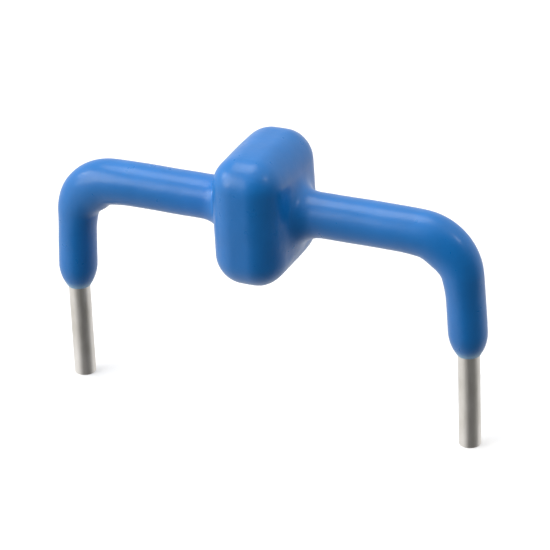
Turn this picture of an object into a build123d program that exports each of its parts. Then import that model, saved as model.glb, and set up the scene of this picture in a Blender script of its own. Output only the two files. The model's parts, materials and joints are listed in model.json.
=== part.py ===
"""Two-lead transient voltage suppressor diode, dip coated, with right-angle formed leads."""

import os
from math import cos, pi, radians, sin

from build123d import *

# Lead wire and how it is formed. Lead tips are at Z = 0.
lead_diameter = 1.27
lead_pitch = 24.7
axis_height = 13.1
bare_length = 5.85
bend_radius = 2.45
leg_lean = 3.0
lean_radius = 30.0
tip_chamfer = 0.08

# Nail head, one piece with the wire, and its solder joint.
head_diameter = 2.6
head_thickness = 0.45
head_solder = 0.08
solder_rise = 0.30
solder_spread = 0.35

# Chip stack, built up along X.
chip_side = 6.2
chip_thickness = 0.24
chip_count = 4
spacer_thickness = 0.25
electrode_thickness = 0.40
chip_solder_thickness = 0.05
plate_corner = 0.5
chip_corner = 0.15

# How far each layer's edge stands inside the chips' edge.
electrode_inset = 0.2
spacer_inset = 0.3
chip_solder_inset = 0.35

# Coating over the stack, the runs, the bends and the legs.
coat_over_head = 0.20
coat_over_chip_y = 0.60
coat_over_chip_z = 0.83
body_edge_radius = 1.6
run_coat = 0.665
leg_coat = 0.495
lip_coat = 0.085
web_depth = 0.42
web_reach = 1.4
junction_fillet = 0.85
coat_taper = 1.45
tip_roundness = 2.0

# Sections through the lofted lengths of coat.
bend_steps = 8
tip_steps = 6

# Derived sizes.
wire_r = lead_diameter / 2
pin_x = lead_pitch / 2
lean = radians(leg_lean)
electrode_side = chip_side - 2 * electrode_inset
spacer_side = chip_side - 2 * spacer_inset
chip_solder_side = chip_side - 2 * chip_solder_inset
solder_count = 2 * chip_count
stack_half = (
    2 * electrode_thickness
    + chip_count * chip_thickness
    + (chip_count - 1) * spacer_thickness
    + solder_count * chip_solder_thickness
) / 2
head_inner_x = stack_half + head_solder
head_outer_x = head_inner_x + head_thickness
body_x = 2 * (head_outer_x + coat_over_head)
body_y = chip_side + 2 * coat_over_chip_y
body_z = chip_side + 2 * coat_over_chip_z

# The right-hand lead's centreline, from the pin upward.
lean_top_x = pin_x - lean_radius * (1 - cos(lean))
lean_top_z = bare_length + lean_radius * sin(lean)
bend_end_z = axis_height - bend_radius * (1 - sin(lean))
leg_length = (bend_end_z - lean_top_z) / cos(lean)
bend_end_x = lean_top_x - leg_length * sin(lean)
bend_start_x = bend_end_x - bend_radius * cos(lean)
bend_sweep = 90 - leg_lean
bend_arc = bend_radius * radians(bend_sweep)
web_run = min(web_reach, leg_length)


def bend_point(travel):
    """Point and heading on the centreline, `travel` mm past the start of the main bend."""
    angle = min(max(travel, 0), bend_arc) / bend_radius
    heading = Vector(cos(angle), 0, -sin(angle))
    x = bend_start_x + bend_radius * sin(angle)
    z = axis_height - bend_radius * (1 - cos(angle))
    return Vector(x, 0, z) + heading * (travel - angle * bend_radius), heading


def lean_point(rise):
    """Point and downward heading on the gentle curve above the pin, `rise` mm above the coat's end."""
    slope = min(rise / lean_radius, lean)
    x = pin_x - lean_radius * (1 - cos(slope))
    z = bare_length + lean_radius * sin(slope)
    return Vector(x, 0, z), Vector(sin(slope), 0, -cos(slope))


def section(centre, heading, radius, fill=0.0):
    """Circle across the centreline, or an ellipse that reaches `fill` further out and in, shifted inwards."""
    inward = Vector(heading.Z, 0, -heading.X)
    plane = Plane(origin=centre + inward * fill, x_dir=inward, z_dir=heading)
    if fill > 0:
        return plane * Ellipse(radius + fill, radius)
    return plane * Circle(radius)


run_axis = Axis((0, 0, axis_height), (1, 0, 0))


def cylinder_x(radius, start, stop):
    """Cylinder along X on the run's axis."""
    plane = Plane(origin=(start, 0, axis_height), x_dir=(0, 1, 0), z_dir=(1, 0, 0))
    return extrude(plane * Circle(radius), amount=stop - start)


def turned_x(points):
    """Solid of revolution about the run's axis from (x, radius) points."""
    outline = Plane.XZ * make_face(Polyline(*points, close=True))
    return revolve(Pos(0, 0, axis_height) * outline, axis=run_axis)


def wire_bend():
    """The main bend of the wire."""
    start = section(*bend_point(0), wire_r)
    centre = (bend_start_x, 0, axis_height - bend_radius)
    return revolve(start, axis=Axis(centre, (0, 1, 0)), revolution_arc=bend_sweep)


def wire_lean():
    """The gentle curve that brings the leaning leg upright at the coat's end."""
    start = section(Vector(pin_x, 0, bare_length), Vector(0, 0, 1), wire_r)
    centre = (pin_x - lean_radius, 0, bare_length)
    return revolve(start, axis=Axis(centre, (0, -1, 0)), revolution_arc=leg_lean)


def wire_leg():
    """The straight leaning length between the two curves."""
    up = Vector(-sin(lean), 0, cos(lean))
    return extrude(section(Vector(lean_top_x, 0, lean_top_z), up, wire_r), amount=leg_length)


def pin():
    """The bare upright length, chamfered where it is cut off."""
    body = extrude(section(Vector(pin_x, 0, 0), Vector(0, 0, 1), wire_r), amount=bare_length)
    return chamfer(body.edges().sort_by(Axis.Z)[0], tip_chamfer)


def lead():
    """Right-hand lead: nail head, run, bend, leg and pin in one piece."""
    head = cylinder_x(head_diameter / 2, head_inner_x, head_outer_x)
    run = cylinder_x(wire_r, head_outer_x, bend_start_x)
    return head + run + wire_bend() + wire_leg() + wire_lean() + pin()


def plate(side, corner, start, thickness):
    """Square plate across the stack with rounded corners."""
    plane = Plane(origin=(start, 0, axis_height), x_dir=(0, 1, 0), z_dir=(1, 0, 0))
    return extrude(plane * RectangleRounded(side, side, corner), amount=thickness)


def stack_layers():
    """Every layer of the chip stack, left to right, as {name: solid}."""
    order = [("electrode_left", electrode_side, plate_corner, electrode_thickness)]
    for number in range(1, chip_count + 1):
        order.append((f"chip_solder_{2 * number - 1}", chip_solder_side, chip_corner, chip_solder_thickness))
        order.append((f"chip_{number}", chip_side, chip_corner, chip_thickness))
        order.append((f"chip_solder_{2 * number}", chip_solder_side, chip_corner, chip_solder_thickness))
        if number < chip_count:
            order.append((f"spacer_{number}", spacer_side, plate_corner, spacer_thickness))
    order.append(("electrode_right", electrode_side, plate_corner, electrode_thickness))
    layers = {}
    start = -stack_half
    for name, side, corner, thickness in order:
        layers[name] = plate(side, corner, start, thickness)
        start += thickness
    return layers


def lead_solder():
    """Right-hand solder joint: a thin layer under the nail head with a sloped rim round it."""
    head_r = head_diameter / 2
    rim = [
        (stack_half, 0),
        (stack_half, head_r + solder_spread),
        (stack_half + solder_rise / 3, head_r + solder_spread / 3),
        (stack_half + solder_rise, head_r),
        (head_inner_x, head_r),
        (head_inner_x, 0),
    ]
    return turned_x(rim)


def coat_bend_sections():
    """Sections from the run round to the leg, thinning on the way, with a web inside the bend."""
    run_r = wire_r + run_coat
    leg_r = wire_r + leg_coat
    length = bend_arc + 2 * web_run
    sections = []
    for step in range(bend_steps + 1):
        share = step / bend_steps
        fill = web_depth / 2 * sin(pi * share) ** 2 if 0 < step < bend_steps else 0
        radius = run_r + (leg_r - run_r) * share * share * (3 - 2 * share)
        sections.append(section(*bend_point(share * length - web_run), radius, fill))
    return sections


def coat_tip_sections():
    """Circles down the gentle curve, from the full leg to the thin lip at the coat's end."""
    leg_r = wire_r + leg_coat
    lip_r = wire_r + lip_coat
    sections = []
    for step in range(tip_steps + 1):
        share = step / tip_steps
        centre, heading = lean_point(coat_taper * (1 - share))
        radius = lip_r + (leg_r - lip_r) * (1 - share ** tip_roundness)
        sections.append(section(centre, heading, radius))
    return sections


def coat_leg():
    """The full-thickness length of coat between the web and the tip."""
    leg_r = wire_r + leg_coat
    top = section(*bend_point(bend_arc + web_run), leg_r)
    bottom = section(*lean_point(coat_taper), leg_r)
    return loft([top, bottom])


def junction():
    """Concave fillet where the run leaves the body."""
    inner = wire_r + run_coat
    face_x = body_x / 2
    outer = inner + junction_fillet
    arc = RadiusArc((face_x, outer), (face_x + junction_fillet, inner), -junction_fillet)
    edges = [
        arc,
        Line((face_x + junction_fillet, inner), (face_x + junction_fillet, 0)),
        Line((face_x + junction_fillet, 0), (0, 0)),
        Line((0, 0), (0, outer)),
        Line((0, outer), (face_x, outer)),
    ]
    outline = Plane.XZ * make_face(edges)
    return revolve(Pos(0, 0, axis_height) * outline, axis=run_axis)


def coat_limb():
    """Right-hand half of the coat outside the body."""
    run = cylinder_x(wire_r + run_coat, 0, bend_start_x - web_run)
    return junction() + run + loft(coat_bend_sections()) + coat_leg() + loft(coat_tip_sections())


def coat_body():
    """The rounded block round the stack."""
    block = Pos(0, 0, axis_height) * Box(body_x, body_y, body_z)
    return fillet(block.edges(), min(body_edge_radius, 0.45 * body_x))


def coating(inside):
    """One solid: the outer form less everything sealed inside it."""
    limb = coat_limb()
    outer = coat_body() + limb + mirror(limb, about=Plane.YZ)
    return outer - inside


def build():
    """All the pieces as {name: solid}."""
    pieces = stack_layers()
    pieces["lead_right"] = lead()
    pieces["lead_left"] = mirror(pieces["lead_right"], about=Plane.YZ)
    pieces["lead_solder_right"] = lead_solder()
    pieces["lead_solder_left"] = mirror(pieces["lead_solder_right"], about=Plane.YZ)
    pieces["coating"] = coating(list(pieces.values()))
    return pieces


os.makedirs("parts", exist_ok=True)
for name, piece in build().items():
    export_step(piece, f"parts/{name}.step")
    print(name, round(piece.volume, 4), len(piece.solids()))
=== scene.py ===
import json
from math import atan, cos, pi, radians, sin

import bmesh
import bpy
import numpy as np
from mathutils import Matrix, Vector


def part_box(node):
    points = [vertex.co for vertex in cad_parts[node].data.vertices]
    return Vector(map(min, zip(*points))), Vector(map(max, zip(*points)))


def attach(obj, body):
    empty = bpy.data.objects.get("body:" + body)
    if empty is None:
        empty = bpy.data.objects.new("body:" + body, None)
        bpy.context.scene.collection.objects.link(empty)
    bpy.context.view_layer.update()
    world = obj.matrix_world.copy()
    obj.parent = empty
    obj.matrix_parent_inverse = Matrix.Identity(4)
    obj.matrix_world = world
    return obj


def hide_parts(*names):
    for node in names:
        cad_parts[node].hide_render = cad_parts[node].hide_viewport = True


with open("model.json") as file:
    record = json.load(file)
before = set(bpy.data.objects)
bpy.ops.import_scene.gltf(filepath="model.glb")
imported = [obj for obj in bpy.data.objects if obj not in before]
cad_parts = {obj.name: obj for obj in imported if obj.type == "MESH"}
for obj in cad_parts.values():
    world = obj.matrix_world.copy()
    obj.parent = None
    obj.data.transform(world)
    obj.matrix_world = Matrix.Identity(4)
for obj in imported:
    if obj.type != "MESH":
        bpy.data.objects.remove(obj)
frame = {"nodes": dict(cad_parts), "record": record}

print("frame loaded")
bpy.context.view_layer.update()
mm = 0.001

# Sizes read from the frame, in mm. Everything below is worked out in mm and made metres at the end.
coatLow, coatHigh = [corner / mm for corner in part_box("coating")]
chipLow, chipHigh = [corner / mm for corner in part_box("chip_1")]
plateLow, plateHigh = [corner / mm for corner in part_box("electrode_right")]
leadLow, leadHigh = [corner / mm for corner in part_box("lead_right")]
pinMount = [mount for mount in frame["record"]["mounts"] if mount["name"] == "pin_right"][0]
pinX = pinMount["pos_m"][0] / mm
wireRadius = pinMount["dims"]["r_mm"]
axisZ = (chipLow.z + chipHigh.z) / 2
coatEndZ = coatLow.z


# The route that the wire and its coat follow, from the middle of the body to the right-hand pin.
route = {
    "bendRadius": 2.45,
    "lean": radians(3.0),
    "leanRadius": 30.0,
}


def routeStretches():
    lean, wide, tight = route["lean"], route["leanRadius"], route["bendRadius"]
    topX = pinX - wide * (1 - cos(lean))
    topZ = coatEndZ + wide * sin(lean)
    endZ = axisZ - tight * (1 - sin(lean))
    leg = (endZ - topZ) / cos(lean)
    run = topX - leg * sin(lean) - tight * cos(lean)
    return run, tight * (pi / 2 - lean), leg, wide * lean


runLength, bendLength, legLength, curlLength = routeStretches()
routeLength = runLength + bendLength + legLength + curlLength


def routeAt(travel):
    # centre and heading of the wire, travel mm along the route
    beyond = travel - runLength
    angle = min(max(beyond, 0), bendLength) / route["bendRadius"]
    x = runLength + route["bendRadius"] * sin(angle)
    z = axisZ - route["bendRadius"] * (1 - cos(angle))
    extra = beyond - angle * route["bendRadius"]
    straight = min(extra, legLength)
    slope = pi / 2 - angle
    x += straight * sin(slope)
    z -= straight * cos(slope)
    if extra > legLength:
        start = slope
        slope = start - (extra - legLength) / route["leanRadius"]
        x += route["leanRadius"] * (cos(slope) - cos(start))
        z -= route["leanRadius"] * (sin(start) - sin(slope))
    return np.array([x, 0.0, z]), np.array([sin(slope), 0.0, -cos(slope)])


headThickness = 0.45
coverOverHead = 0.20
headX = leadLow.x + headThickness    # outer face of the nail head
coat = {
    "around": 144,           # points round each ring
    "bodyHalfX": headX + coverOverHead,
    "bodyHalfY": (coatHigh.y - coatLow.y) / 2,
    "bodyHalfZ": coatHigh.z - axisZ,
    "edgeRadius": 1.62,
    "crown": 0.10,           # how much each face of the body bulges
    "runThickness": 0.665,
    "legThickness": 0.495,
    "lipThickness": 0.05,
    "webDepth": 0.42,
    "webReach": 1.4,
    "taper": 1.45,
    "taperPower": 2.1,
    "blendTop": 1.15,        # width of the soft join between run and body, above and below
    "blendBelow": 1.75,
    "sag": 0.018,            # unevenness left by dipping
    # share of the sag, how fast it turns along x, y and z, and where it starts
    "swells": [
        (1.0, 0.9, 0.0, 1.3, 0.7),
        (1.0, 0.0, 1.7, -1.1, 2.1),
        (0.6, 2.3, -1.9, 0.0, 0.4),
        (0.4, 1.2, 2.6, 3.1, 0.0),
    ],
    "boreGap": 0.004,
    "headPocket": 1.31,
    "stackEdge": 0.5,        # how round the stack's edges count when the coat's depth is found
    "rayLength": 8.0,
    "halvings": 36,          # steps that find where a ray leaves the solid
    # where each fan of rays starts along the axis, and its tilt in degrees
    "fan": [
        (0, 0), (0, 14), (0, 26), (0, 36), (0, 44), (0.15, 50),
        (0.6, 52), (1.3, 47), (2.2, 32), (3.2, 12), (4.2, 0),
    ],
    "fanRings": 92,
    # rings along the run, the bend, the leg and the tip
    "runRings": 22,
    "bendRings": 54,
    "legRings": 10,
    "tipRings": 30,
}


def coatUneven(points, side):
    # slow swells left by the dip, different on the two sides of the body
    x, y, z = points[..., 0] * side, points[..., 1], points[..., 2] - axisZ
    waves = np.zeros(x.shape)
    for height, acrossX, acrossY, acrossZ, start in coat["swells"]:
        waves = waves + height * np.sin(acrossX * x + acrossY * y + acrossZ * z + start)
    return coat["sag"] * waves / 3


def bodyField(points, side):
    # distance outside the body and run, with a soft join between them
    x, y, z = np.abs(points[..., 0]), points[..., 1], points[..., 2] - axisZ
    halves = np.array([coat["bodyHalfX"], coat["bodyHalfY"], coat["bodyHalfZ"]])
    place = np.stack([x, np.abs(y), np.abs(z)], -1)
    ratio = (place / halves) ** 2
    bulge = coat["crown"] * (ratio.sum(-1, keepdims=True) - ratio)
    corner = place - (halves - coat["edgeRadius"] - bulge)
    block = np.linalg.norm(np.maximum(corner, 0), axis=-1)
    block = block + np.minimum(corner.max(-1), 0) - coat["edgeRadius"]
    reach = np.hypot(y, z)
    tube = reach - wireRadius - coat["runThickness"]
    below = 0.5 - 0.5 * z / np.maximum(reach, 0.01)
    soft = coat["blendTop"] + (coat["blendBelow"] - coat["blendTop"]) * below ** 2
    near = np.maximum(soft - np.abs(block - tube), 0) / soft
    return np.minimum(block, tube) - near ** 2 * soft / 4 - coatUneven(points, side)


def reachOut(starts, rays, side):
    # finds where each ray leaves the solid, by halving
    low = np.zeros(len(rays))
    high = np.full(len(rays), coat["rayLength"])
    for _ in range(coat["halvings"]):
        middle = (low + high) / 2
        inside = bodyField(starts + rays * middle[:, None], side) < 0
        low = np.where(inside, middle, low)
        high = np.where(inside, high, middle)
    return starts + rays * low[:, None]


def ringAngles():
    return np.arange(coat["around"]) * 2 * pi / coat["around"]


def bodyRings(side):
    # rays fan out from the middle over the body's edge, then stand upright again along the run
    fan = coat["fan"]
    counts = np.linspace(0, len(fan) - 1, coat["fanRings"])
    knots = np.arange(len(fan))
    starts = np.interp(counts, knots, [start for start, tilt in fan])
    tilts = np.interp(counts, knots, [radians(tilt) for start, tilt in fan])
    smooth = np.array([1, 2, 3, 2, 1]) / 9
    starts = np.convolve(np.pad(starts, 2, "edge"), smooth, "valid")
    tilts = np.convolve(np.pad(tilts, 2, "edge"), smooth, "valid")
    starts[0] = tilts[0] = 0
    angles = ringAngles()
    rings = []
    for start, tilt in zip(starts, tilts):
        rays = np.stack([
            np.full(len(angles), sin(tilt)),
            np.sin(angles) * cos(tilt),
            -np.cos(angles) * cos(tilt),
        ], -1)
        origin = np.tile([start, 0.0, axisZ], (len(angles), 1))
        rings.append(reachOut(origin, rays, side))
    return rings, starts[-1]


def limbRing(travel, side):
    # one ring of coat round the wire, with the web inside the bend and the thin rounded tip
    centre, heading = routeAt(travel)
    inward = np.array([heading[2], 0.0, -heading[0]])
    reach = min(coat["webReach"], legLength)
    share = np.clip((travel - runLength + reach) / (bendLength + 2 * reach), 0, 1)
    fill = coat["webDepth"] / 2 * sin(pi * share) ** 2
    ease = share * share * (3 - 2 * share)
    thickness = coat["runThickness"] + (coat["legThickness"] - coat["runThickness"]) * ease
    toEnd = max(routeLength - travel, 0)
    worn = max(1 - toEnd / coat["taper"], 0) ** coat["taperPower"]
    thickness = thickness + (coat["lipThickness"] - thickness) * worn
    radius = wireRadius + thickness
    angles = ringAngles()
    across = np.outer(np.cos(angles) * (radius + fill) + fill, inward)
    ring = centre + across + np.outer(np.sin(angles) * radius, [0.0, 1.0, 0.0])
    outward = ring - centre
    outward = outward / np.linalg.norm(outward, axis=1, keepdims=True)
    calm = min(toEnd / coat["taper"], 1)
    return ring + outward * (coatUneven(ring, side) * calm)[:, None]


def boreRing(travel):
    centre, heading = routeAt(travel)
    inward = np.array([heading[2], 0.0, -heading[0]])
    radius = wireRadius + coat["boreGap"]
    angles = ringAngles()
    across = np.outer(np.cos(angles) * radius, inward)
    return centre + across + np.outer(np.sin(angles) * radius, [0.0, 1.0, 0.0])


def squareRing(x, half, power):
    # ring on the square pocket that holds the chip stack, its corners rounder for a lower power
    angles = ringAngles()
    spread = half / (np.abs(np.cos(angles)) ** power + np.abs(np.sin(angles)) ** power) ** (1 / power)
    return np.stack([np.full(len(angles), x), np.sin(angles) * spread, axisZ - np.cos(angles) * spread], -1)


def coatDepth(points):
    # thickness of the coat over what it hides, which sets how light it looks
    x, y, z = np.abs(points[:, 0]), points[:, 1], points[:, 2] - axisZ
    place = np.stack([x - plateHigh.x, np.abs(y) - plateHigh.y, np.abs(z) - plateHigh.y], -1)
    overStack = np.linalg.norm(np.maximum(place + coat["stackEdge"], 0), axis=1) - coat["stackEdge"]
    return np.minimum(overStack, np.hypot(y, z) - wireRadius)


def halfRings(side):
    # from the middle of the body out to the lip, then back through the bore to the pocket for the stack
    rings, joined = bodyRings(side)
    depths = [coatDepth(ring) for ring in rings]
    webStart = runLength - coat["webReach"]
    webEnd = runLength + bendLength + min(coat["webReach"], legLength)
    tipStart = routeLength - coat["taper"]
    travels = list(np.linspace(joined, webStart, coat["runRings"])[1:])
    travels += list(np.linspace(webStart, webEnd, coat["bendRings"])[1:])
    travels += list(np.linspace(webEnd, tipStart, coat["legRings"])[1:])
    travels += list(tipStart + coat["taper"] * np.sin(np.linspace(0, pi / 2, coat["tipRings"]))[1:])
    for travel in travels:
        ring = limbRing(travel, side)
        rings.append(ring)
        depths.append(np.linalg.norm(ring - routeAt(travel)[0], axis=1) - wireRadius)
    bore = list(np.linspace(routeLength, runLength + bendLength, 8))
    bore += list(np.linspace(runLength + bendLength, runLength, 14)[1:])
    bore += list(np.linspace(runLength, headX, 4)[1:])
    inner = [boreRing(travel) for travel in bore]
    inner += [squareRing(headX, coat["headPocket"], 2), squareRing(leadLow.x, coat["headPocket"], 2)]
    inner += [squareRing(leadLow.x, plateHigh.y, 13), squareRing(plateLow.x, plateHigh.y, 13)]
    inner += [squareRing(plateLow.x, chipHigh.y, 48), squareRing(0.0, chipHigh.y, 48)]
    return rings + inner, depths + [np.zeros(coat["around"])] * len(inner)


def makeCoating():
    around = coat["around"]
    points, depths, faces = [], [], []
    for side in (1, -1):
        rings, ringDepths = halfRings(side)
        base = len(points) * around
        points += [ring * [side, 1, 1] for ring in rings]
        depths += ringDepths
        for row in range(len(rings) - 1):
            for spot in range(around):
                beside = (spot + 1) % around
                first = base + row * around
                second = first + around
                quad = [first + spot, first + beside, second + beside, second + spot]
                faces.append(quad if side == 1 else quad[::-1])
    mesh = bpy.data.meshes.new("coating_skin")
    mesh.from_pydata((np.concatenate(points) * mm).tolist(), [], faces)
    depth = mesh.attributes.new("coatDepth", "FLOAT", "POINT")
    depth.data.foreach_set("value", np.concatenate(depths).astype(np.float32))
    work = bmesh.new()
    work.from_mesh(mesh)
    bmesh.ops.remove_doubles(work, verts=work.verts, dist=1e-7)
    work.to_mesh(mesh)
    work.free()
    mesh.shade_smooth()
    mesh.set_sharp_from_angle(angle=radians(50))
    mesh.materials.append(blueEpoxy())
    piece = linkPiece("coating_skin", mesh)
    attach(piece, "root")
    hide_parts("coating")
    print("coating", len(mesh.vertices), "points")


def linkPiece(name, mesh):
    piece = bpy.data.objects.new(name, mesh)
    bpy.context.scene.collection.objects.link(piece)
    return piece


lead = {
    "headRadius": leadHigh.y,
    "tipChamfer": 0.08,
    "bendSteps": 30,
    "around": 64,
}


def leadTree():
    tree = bpy.data.node_groups.new("formedWire", "GeometryNodeTree")
    tree.interface.new_socket("Route", in_out="INPUT", socket_type="NodeSocketGeometry")
    sockets = {"Wire Radius": "Float", "Around": "Int", "Bend Steps": "Int", "Finish": "Material"}
    for name, kind in sockets.items():
        tree.interface.new_socket(name, in_out="INPUT", socket_type="NodeSocket" + kind)
    tree.interface.new_socket("Wire", in_out="OUTPUT", socket_type="NodeSocketGeometry")
    given = addNode(tree, "NodeGroupInput", (-900, 0))
    named = "GeometryNodeInputNamedAttribute"
    bend = addNode(tree, named, (-900, -260), {"Name": "bendRadius"}, data_type="FLOAT")
    swell = addNode(tree, named, (-500, -260), {"Name": "swell"}, data_type="FLOAT")
    path = addNode(tree, "GeometryNodeMeshToCurve", (-700, 0))
    rounded = addNode(tree, "GeometryNodeFilletCurve", (-500, 0))
    rounded.mode = "POLY"
    sized = addNode(tree, "GeometryNodeSetCurveRadius", (-300, 0))
    ring = addNode(tree, "GeometryNodeCurvePrimitiveCircle", (-300, -260))
    skin = addNode(tree, "GeometryNodeCurveToMesh", (-100, 0), {"Fill Caps": True})
    smooth = addNode(tree, "GeometryNodeSetShadeSmooth", (100, 0))
    real = addNode(tree, "GeometryNodeRealizeInstances", (300, 0))
    finish = addNode(tree, "GeometryNodeSetMaterial", (500, 0))
    result = addNode(tree, "NodeGroupOutput", (700, 0))
    link = tree.links.new
    link(given.outputs["Route"], path.inputs["Mesh"])
    link(path.outputs["Curve"], rounded.inputs["Curve"])
    link(bend.outputs["Attribute"], rounded.inputs["Radius"])
    link(given.outputs["Bend Steps"], rounded.inputs["Count"])
    link(rounded.outputs["Curve"], sized.inputs["Curve"])
    link(swell.outputs["Attribute"], sized.inputs["Radius"])
    link(given.outputs["Around"], ring.inputs["Resolution"])
    link(given.outputs["Wire Radius"], ring.inputs["Radius"])
    link(sized.outputs["Curve"], skin.inputs["Curve"])
    link(ring.outputs["Curve"], skin.inputs["Profile Curve"])
    link(skin.outputs["Mesh"], smooth.inputs["Geometry"])
    link(smooth.outputs["Geometry"], real.inputs["Geometry"])
    link(real.outputs["Geometry"], finish.inputs["Geometry"])
    link(given.outputs["Finish"], finish.inputs["Material"])
    link(finish.outputs["Geometry"], result.inputs["Wire"])
    return tree


def setInputs(modifier, values):
    for item in modifier.node_group.interface.items_tree:
        if item.item_type == "SOCKET" and item.in_out == "INPUT" and item.name in values:
            modifier[item.identifier] = values[item.name]


def leadRoute(side):
    # corner points of the wire, each with its bend radius and how far the wire should swell there
    # (the swell isn't taken up: Curve to Mesh reads its Scale input, which is left at 1)
    lean = route["lean"]
    cornerX = runLength + route["bendRadius"] * (1 / cos(lean) - sin(lean) / cos(lean))
    leanHalf = route["leanRadius"] * (1 - cos(lean)) / sin(lean)
    thin = 1 - lead["tipChamfer"] / wireRadius
    wide = lead["headRadius"] / wireRadius
    corners = [
        ((headX, axisZ), 0, 1),
        ((cornerX, axisZ), route["bendRadius"], 1),
        ((pinX, coatEndZ + leanHalf), route["leanRadius"], 1),
        ((pinX, lead["tipChamfer"]), 0, 1),
        ((pinX, 0.0), 0, thin),
        ((leadLow.x, axisZ), 0, wide * 0.96),
        ((leadLow.x + 0.05, axisZ), 0, wide),
        ((headX - 0.05, axisZ), 0, wide),
        ((headX, axisZ), 0, wide * 0.96),
    ]
    mesh = bpy.data.meshes.new("leadRoute")
    places = [(side * x * mm, 0.0, z * mm) for (x, z), bend, swell in corners]
    edges = [(0, 1), (1, 2), (2, 3), (3, 4), (5, 6), (6, 7), (7, 8)]
    mesh.from_pydata(places, edges, [])
    bends = mesh.attributes.new("bendRadius", "FLOAT", "POINT")
    bends.data.foreach_set("value", [bend * mm for place, bend, swell in corners])
    swells = mesh.attributes.new("swell", "FLOAT", "POINT")
    swells.data.foreach_set("value", [swell for place, bend, swell in corners])
    return mesh


def makeLead(side, name, tree, finish):
    guide = linkPiece(name + "_guide", leadRoute(side))
    modifier = guide.modifiers.new("formedWire", "NODES")
    modifier.node_group = tree
    setInputs(modifier, {
        "Wire Radius": wireRadius * mm,
        "Around": lead["around"],
        "Bend Steps": lead["bendSteps"],
        "Finish": finish,
    })
    ready = guide.evaluated_get(bpy.context.evaluated_depsgraph_get())
    mesh = bpy.data.meshes.new_from_object(ready)
    guide.modifiers.remove(modifier)
    bpy.data.objects.remove(guide)
    mesh.set_sharp_from_angle(angle=radians(30))
    piece = linkPiece(name + "_wire", mesh)
    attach(piece, "root")
    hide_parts(name)
    print(name, len(mesh.vertices), "points")


def addNode(tree, kind, place, values=None, **settings):
    node = tree.nodes.new(kind)
    node.location = place
    for key, value in settings.items():
        setattr(node, key, value)
    for key, value in (values or {}).items():
        node.inputs[key].default_value = value
    return node


def grainGroup():
    # uneven grain on Object coordinates, stretched by the material that uses it
    tree = bpy.data.node_groups.new("grain", "ShaderNodeTree")
    sockets = {"Stretch": "Vector", "Scale": "Float", "Roughness": "Float", "Low": "Float", "High": "Float"}
    for name, kind in sockets.items():
        tree.interface.new_socket(name, in_out="INPUT", socket_type="NodeSocket" + kind)
    tree.interface.new_socket("Height", in_out="OUTPUT", socket_type="NodeSocketFloat")
    tree.interface.new_socket("Value", in_out="OUTPUT", socket_type="NodeSocketFloat")
    given = addNode(tree, "NodeGroupInput", (-700, 0))
    place = addNode(tree, "ShaderNodeTexCoord", (-700, 260))
    scaled = addNode(tree, "ShaderNodeVectorMath", (-500, 160), operation="MULTIPLY")
    noise = addNode(tree, "ShaderNodeTexNoise", (-300, 100), {"Detail": 4.0})
    spread = addNode(tree, "ShaderNodeMapRange", (-80, 0), {"From Min": 0.3, "From Max": 0.7})
    result = addNode(tree, "NodeGroupOutput", (160, 100))
    link = tree.links.new
    link(place.outputs["Object"], scaled.inputs[0])
    link(given.outputs["Stretch"], scaled.inputs[1])
    link(scaled.outputs[0], noise.inputs["Vector"])
    link(given.outputs["Scale"], noise.inputs["Scale"])
    link(given.outputs["Roughness"], noise.inputs["Roughness"])
    link(noise.outputs["Fac"], spread.inputs["Value"])
    link(given.outputs["Low"], spread.inputs["To Min"])
    link(given.outputs["High"], spread.inputs["To Max"])
    link(noise.outputs["Fac"], result.inputs["Height"])
    link(spread.outputs["Result"], result.inputs["Value"])
    return tree


grainTree = grainGroup()


def newMaterial(name, shaderValues):
    material = bpy.data.materials.new(name)
    material.use_nodes = True
    tree = material.node_tree
    tree.nodes.clear()
    shader = addNode(tree, "ShaderNodeBsdfPrincipled", (300, 0), shaderValues)
    output = addNode(tree, "ShaderNodeOutputMaterial", (600, 0))
    tree.links.new(shader.outputs[0], output.inputs[0])
    return material, tree, shader


def addGrain(tree, place, stretch, scale, low, high, roughness=0.5):
    values = {"Stretch": stretch, "Scale": scale, "Roughness": roughness, "Low": low, "High": high}
    node = tree.nodes.new("ShaderNodeGroup")
    node.node_tree = grainTree
    node.location = place
    for key, value in values.items():
        node.inputs[key].default_value = value
    return node


def mixColours(tree, place, first, second):
    node = addNode(tree, "ShaderNodeMix", place, data_type="RGBA")
    node.inputs[6].default_value = (*first, 1)
    node.inputs[7].default_value = (*second, 1)
    return node


epoxy = {
    "deep": (0.003, 0.185, 0.580),
    "pale": (0.200, 0.450, 0.720),
    "paleDepth": 0.08,
    "deepDepth": 0.36,
    "roughness": (0.27, 0.38),
    "ripple": 900.0,         # cells per metre of the slow ripple
    "peel": 5200.0,          # cells per metre of the fine orange peel
}


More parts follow.
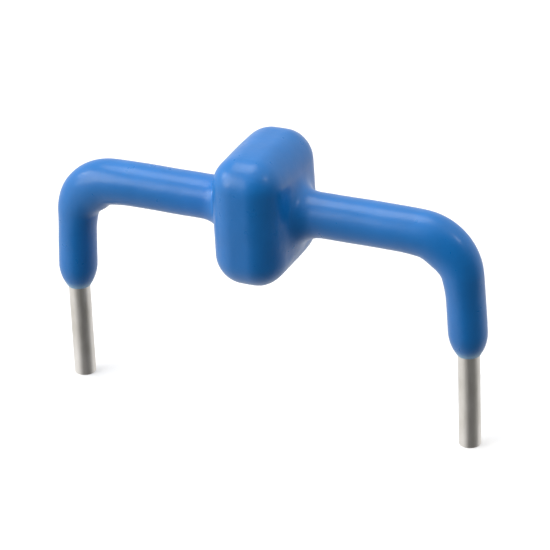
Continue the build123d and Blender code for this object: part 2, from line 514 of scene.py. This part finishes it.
def blueEpoxy():
    material, tree, shader = newMaterial("blueEpoxy", {
        "IOR": 1.54,
        "Coat Weight": 0.10,
        "Coat Roughness": 0.18,
    })
    link = tree.links.new
    depth = addNode(tree, "ShaderNodeAttribute", (-900, 200), attribute_name="coatDepth")
    thin = addNode(tree, "ShaderNodeMapRange", (-700, 200), {
        "From Min": epoxy["paleDepth"], "From Max": epoxy["deepDepth"],
    }, interpolation_type="SMOOTHSTEP")
    colour = mixColours(tree, (-400, 200), epoxy["pale"], epoxy["deep"])
    cloud = addGrain(tree, (-700, -100), (1, 1, 1), 420.0, 0.94, 1.06)
    shade = addNode(tree, "ShaderNodeHueSaturation", (-150, 200))
    rough = addGrain(tree, (-400, -350), (1, 1, 1), 1500.0, *epoxy["roughness"])
    ripple = addGrain(tree, (-400, -600), (1, 1, 1), epoxy["ripple"], 0, 1)
    peel = addGrain(tree, (-400, -850), (1, 1, 1), epoxy["peel"], 0, 1)
    slow = addNode(tree, "ShaderNodeBump", (-100, -600), {"Strength": 0.5, "Distance": 0.00006})
    fine = addNode(tree, "ShaderNodeBump", (80, -700), {"Strength": 0.35, "Distance": 0.000006})
    link(depth.outputs["Fac"], thin.inputs["Value"])
    link(thin.outputs["Result"], colour.inputs[0])
    link(colour.outputs[2], shade.inputs["Color"])
    link(cloud.outputs["Value"], shade.inputs["Value"])
    link(shade.outputs["Color"], shader.inputs["Base Color"])
    link(rough.outputs["Value"], shader.inputs["Roughness"])
    link(ripple.outputs["Height"], slow.inputs["Height"])
    link(slow.outputs["Normal"], fine.inputs["Normal"])
    link(peel.outputs["Height"], fine.inputs["Height"])
    link(fine.outputs["Normal"], shader.inputs["Normal"])
    return material


metals = {
    "tinnedWire": {
        "bright": (0.94, 0.91, 0.87),
        "dull": (0.74, 0.71, 0.65),
        "stretch": (1, 1, 0.05),
        "scale": 9000.0,
        "rough": (0.38, 0.52),
    },
    "copperPlate": {
        "bright": (0.86, 0.50, 0.34),
        "dull": (0.52, 0.25, 0.15),
        "stretch": (1, 1, 1),
        "scale": 1800.0,
        "rough": (0.25, 0.45),
    },
    "solderJoint": {
        "bright": (0.66, 0.66, 0.67),
        "dull": (0.42, 0.42, 0.43),
        "stretch": (1, 1, 1),
        "scale": 3200.0,
        "rough": (0.30, 0.50),
    },
    "siliconChip": {
        "bright": (0.20, 0.21, 0.24),
        "dull": (0.11, 0.12, 0.14),
        "stretch": (1, 1, 1),
        "scale": 2600.0,
        "rough": (0.12, 0.25),
    },
}


def metalFinish(name):
    look = metals[name]
    material, tree, shader = newMaterial(name, {"Metallic": 1.0})
    link = tree.links.new
    stain = addGrain(tree, (-700, 200), (1, 1, 0.4), look["scale"] / 7, 0.0, 1.0)
    colour = mixColours(tree, (-400, 200), look["bright"], look["dull"])
    rough = addGrain(tree, (-400, -100), look["stretch"], look["scale"] / 2, *look["rough"])
    marks = addGrain(tree, (-400, -350), look["stretch"], look["scale"], 0, 1, 0.65)
    bump = addNode(tree, "ShaderNodeBump", (0, -350), {"Strength": 0.5, "Distance": 0.000012})
    link(stain.outputs["Value"], colour.inputs[0])
    link(colour.outputs[2], shader.inputs["Base Color"])
    link(rough.outputs["Value"], shader.inputs["Roughness"])
    link(marks.outputs["Height"], bump.inputs["Height"])
    link(bump.outputs["Normal"], shader.inputs["Normal"])
    return material


def finishNodes():
    # the pieces sealed inside the coat keep their own shapes and get their own finishes
    kinds = {
        "chip_solder": "solderJoint",
        "lead_solder": "solderJoint",
        "electrode": "copperPlate",
        "spacer": "copperPlate",
        "chip": "siliconChip",
    }
    made = {kind: metalFinish(kind) for kind in set(kinds.values())}
    for name, node in frame["nodes"].items():
        kind = next((kinds[start] for start in kinds if name.startswith(start)), None)
        if kind:
            node.material_slots[0].material = made[kind]
    print("inner pieces finished")


studio = {
    "floorSize": 1.2,
    "floorColour": (0.80, 0.80, 0.80),
    "floorGlow": 0.30,       # what the camera sees on top of the floor's own colour
    "tentLevel": 0.86,
    "openingLevel": 0.12,    # the dark opening of the tent, in front of the part
    "openingAzimuth": 44,
    "openingElevation": -12,
    "openingEdge": (0.0, 0.85),
    "lampDistance": 0.30,
}

# direction in degrees, width in metres and strength in watts
lamps = {
    "topLamp": {"azimuth": -100, "elevation": 74, "size": 0.20, "power": 0.26},
    "leftLamp": {"azimuth": -78, "elevation": 27, "size": 0.036, "power": 0.08},
    "sideLamp": {"azimuth": -48, "elevation": 26, "size": 0.22, "power": 0.34},
    "rightLamp": {"azimuth": 80, "elevation": 42, "size": 0.036, "power": 0.05},
}


def makeLamps():
    centre = Vector((0, 0, axisZ * mm))
    for name, lamp in lamps.items():
        a, e = radians(lamp["azimuth"]), radians(lamp["elevation"])
        back = Vector((sin(a) * cos(e), -cos(a) * cos(e), sin(e)))
        light = bpy.data.lights.new(name, "AREA")
        light.shape = "DISK"
        light.size = lamp["size"]
        light.energy = lamp["power"]
        holder = linkPiece(name, light)
        holder.location = centre + back * studio["lampDistance"]
        holder.rotation_euler = (-back).to_track_quat("-Z", "Y").to_euler()


def makeWorld():
    world = bpy.data.worlds.new("tent")
    bpy.context.scene.world = world
    world.use_nodes = True
    tree = world.node_tree
    tree.nodes.clear()
    a, e = radians(studio["openingAzimuth"]), radians(studio["openingElevation"])
    opening = (sin(a) * cos(e), -cos(a) * cos(e), sin(e))
    place = addNode(tree, "ShaderNodeTexCoord", (-1000, 0))
    facing = addNode(tree, "ShaderNodeVectorMath", (-800, 0), operation="DOT_PRODUCT")
    facing.inputs[1].default_value = opening
    level = addNode(tree, "ShaderNodeMapRange", (-600, 0), {
        "From Min": studio["openingEdge"][0],
        "From Max": studio["openingEdge"][1],
        "To Min": studio["tentLevel"],
        "To Max": studio["openingLevel"],
    }, interpolation_type="SMOOTHSTEP")
    path = addNode(tree, "ShaderNodeLightPath", (-400, 300))
    tent = addNode(tree, "ShaderNodeBackground", (-200, 0), {"Color": (1, 1, 1, 1)})
    white = addNode(tree, "ShaderNodeBackground", (-200, -200), {"Color": (1, 1, 1, 1), "Strength": 1.0})
    mix = addNode(tree, "ShaderNodeMixShader", (0, 0))
    output = addNode(tree, "ShaderNodeOutputWorld", (200, 0))
    tree.links.new(place.outputs["Generated"], facing.inputs[0])
    tree.links.new(facing.outputs["Value"], level.inputs["Value"])
    tree.links.new(level.outputs["Result"], tent.inputs["Strength"])
    tree.links.new(path.outputs["Is Camera Ray"], mix.inputs[0])
    tree.links.new(tent.outputs[0], mix.inputs[1])
    tree.links.new(white.outputs[0], mix.inputs[2])
    tree.links.new(mix.outputs[0], output.inputs[0])


def makeFloor():
    half = studio["floorSize"] / 2
    mesh = bpy.data.meshes.new("floor")
    corners = [(-half, -half, 0), (half, -half, 0), (half, half, 0), (-half, half, 0)]
    mesh.from_pydata(corners, [], [(0, 1, 2, 3)])
    material, tree, shader = newMaterial("paleFloor", {
        "Base Color": (*studio["floorColour"], 1),
        "Roughness": 0.9,
        "Emission Color": (1, 1, 1, 1),
    })
    path = addNode(tree, "ShaderNodeLightPath", (-200, -200))
    glow = addNode(tree, "ShaderNodeMath", (0, -200), {1: studio["floorGlow"]}, operation="MULTIPLY")
    tree.links.new(path.outputs["Is Camera Ray"], glow.inputs[0])
    tree.links.new(glow.outputs[0], shader.inputs["Emission Strength"])
    mesh.materials.append(material)
    floor = linkPiece("floor", mesh)
    floor.visible_glossy = False
    floor.visible_diffuse = False


view = {
    "azimuth": 25.28,
    "elevation": 26.55,
    "roll": -2.50,
    "distance": 200.0,
    "focal": 3512.6,         # in widths of a picture 550 across
    "axisAcross": 264.86,    # where the middle of the body's axis falls in that picture
    "axisDown": 205.75,
    "picture": 550.0,
}


def makeCamera():
    a, e = radians(view["azimuth"]), radians(view["elevation"])
    back = Vector((sin(a) * cos(e), -cos(a) * cos(e), sin(e)))
    data = bpy.data.cameras.new("camera")
    data.sensor_width = 36
    data.lens = 36 * view["focal"] / view["picture"]
    data.clip_start, data.clip_end = 0.01, 10
    holder = linkPiece("camera", data)
    holder.location = Vector((0, 0, axisZ)) * mm + back * view["distance"] * mm
    turn = (-back).to_track_quat("-Z", "Y").to_matrix()
    half = view["picture"] / 2
    roll = Matrix.Rotation(radians(view["roll"]), 3, "Z")
    acrossTurn = Matrix.Rotation(-atan((half - view["axisAcross"]) / view["focal"]), 3, "Y")
    downTurn = Matrix.Rotation(-atan((half - view["axisDown"]) / view["focal"]), 3, "X")
    holder.rotation_mode = "QUATERNION"
    holder.rotation_quaternion = (turn @ roll @ acrossTurn @ downTurn).to_quaternion()
    bpy.context.scene.camera = holder


makeCamera()
makeWorld()
makeLamps()
makeFloor()
print("stage ready")
makeCoating()
wireTree = leadTree()
tinned = metalFinish("tinnedWire")
makeLead(1, "lead_right", wireTree, tinned)
makeLead(-1, "lead_left", wireTree, tinned)
finishNodes()

bpy.context.scene.view_settings.view_transform = "Standard"
